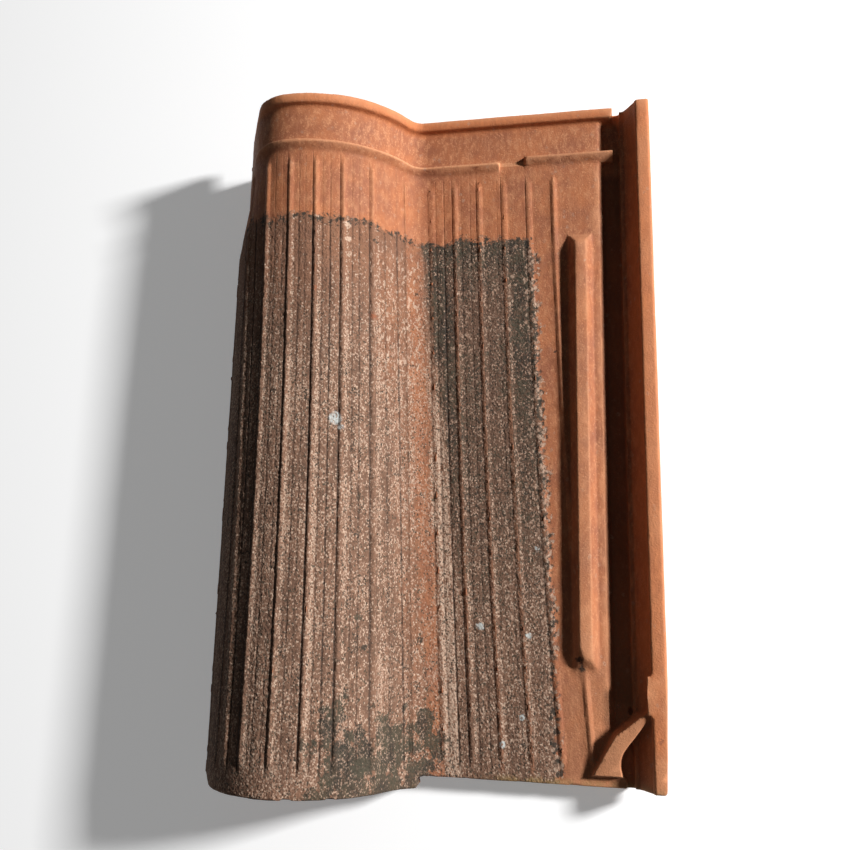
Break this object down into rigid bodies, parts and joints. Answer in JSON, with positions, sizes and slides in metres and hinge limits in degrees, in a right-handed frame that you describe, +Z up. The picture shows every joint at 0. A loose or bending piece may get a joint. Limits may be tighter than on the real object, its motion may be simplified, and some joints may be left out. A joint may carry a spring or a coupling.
{
  "type": "clay roof tile",
  "caption": "Interlocking fired clay roof tile with a ribbed face, a roll on the left, a flat pan, a side lock with rib, channel and rail, and a head lock.",
  "frame": {"origin": "centre of the tile's outer box, on the level floor that it lies on", "axes": "+X across the tile from the roll to the side lock, +Y up the slope from the tail to the head, +Z up out of the weathered face"},
  "size_m": [0.2846, 0.4376, 0.0803],
  "materials": {
    "fired_clay": "unglazed fired clay, orange where it was covered, weathered brown and grey with lichen where it was exposed"
  },
  "bodies": {
    "root": {"roof_tile": "fired_clay"}
  },
  "joints": []
}
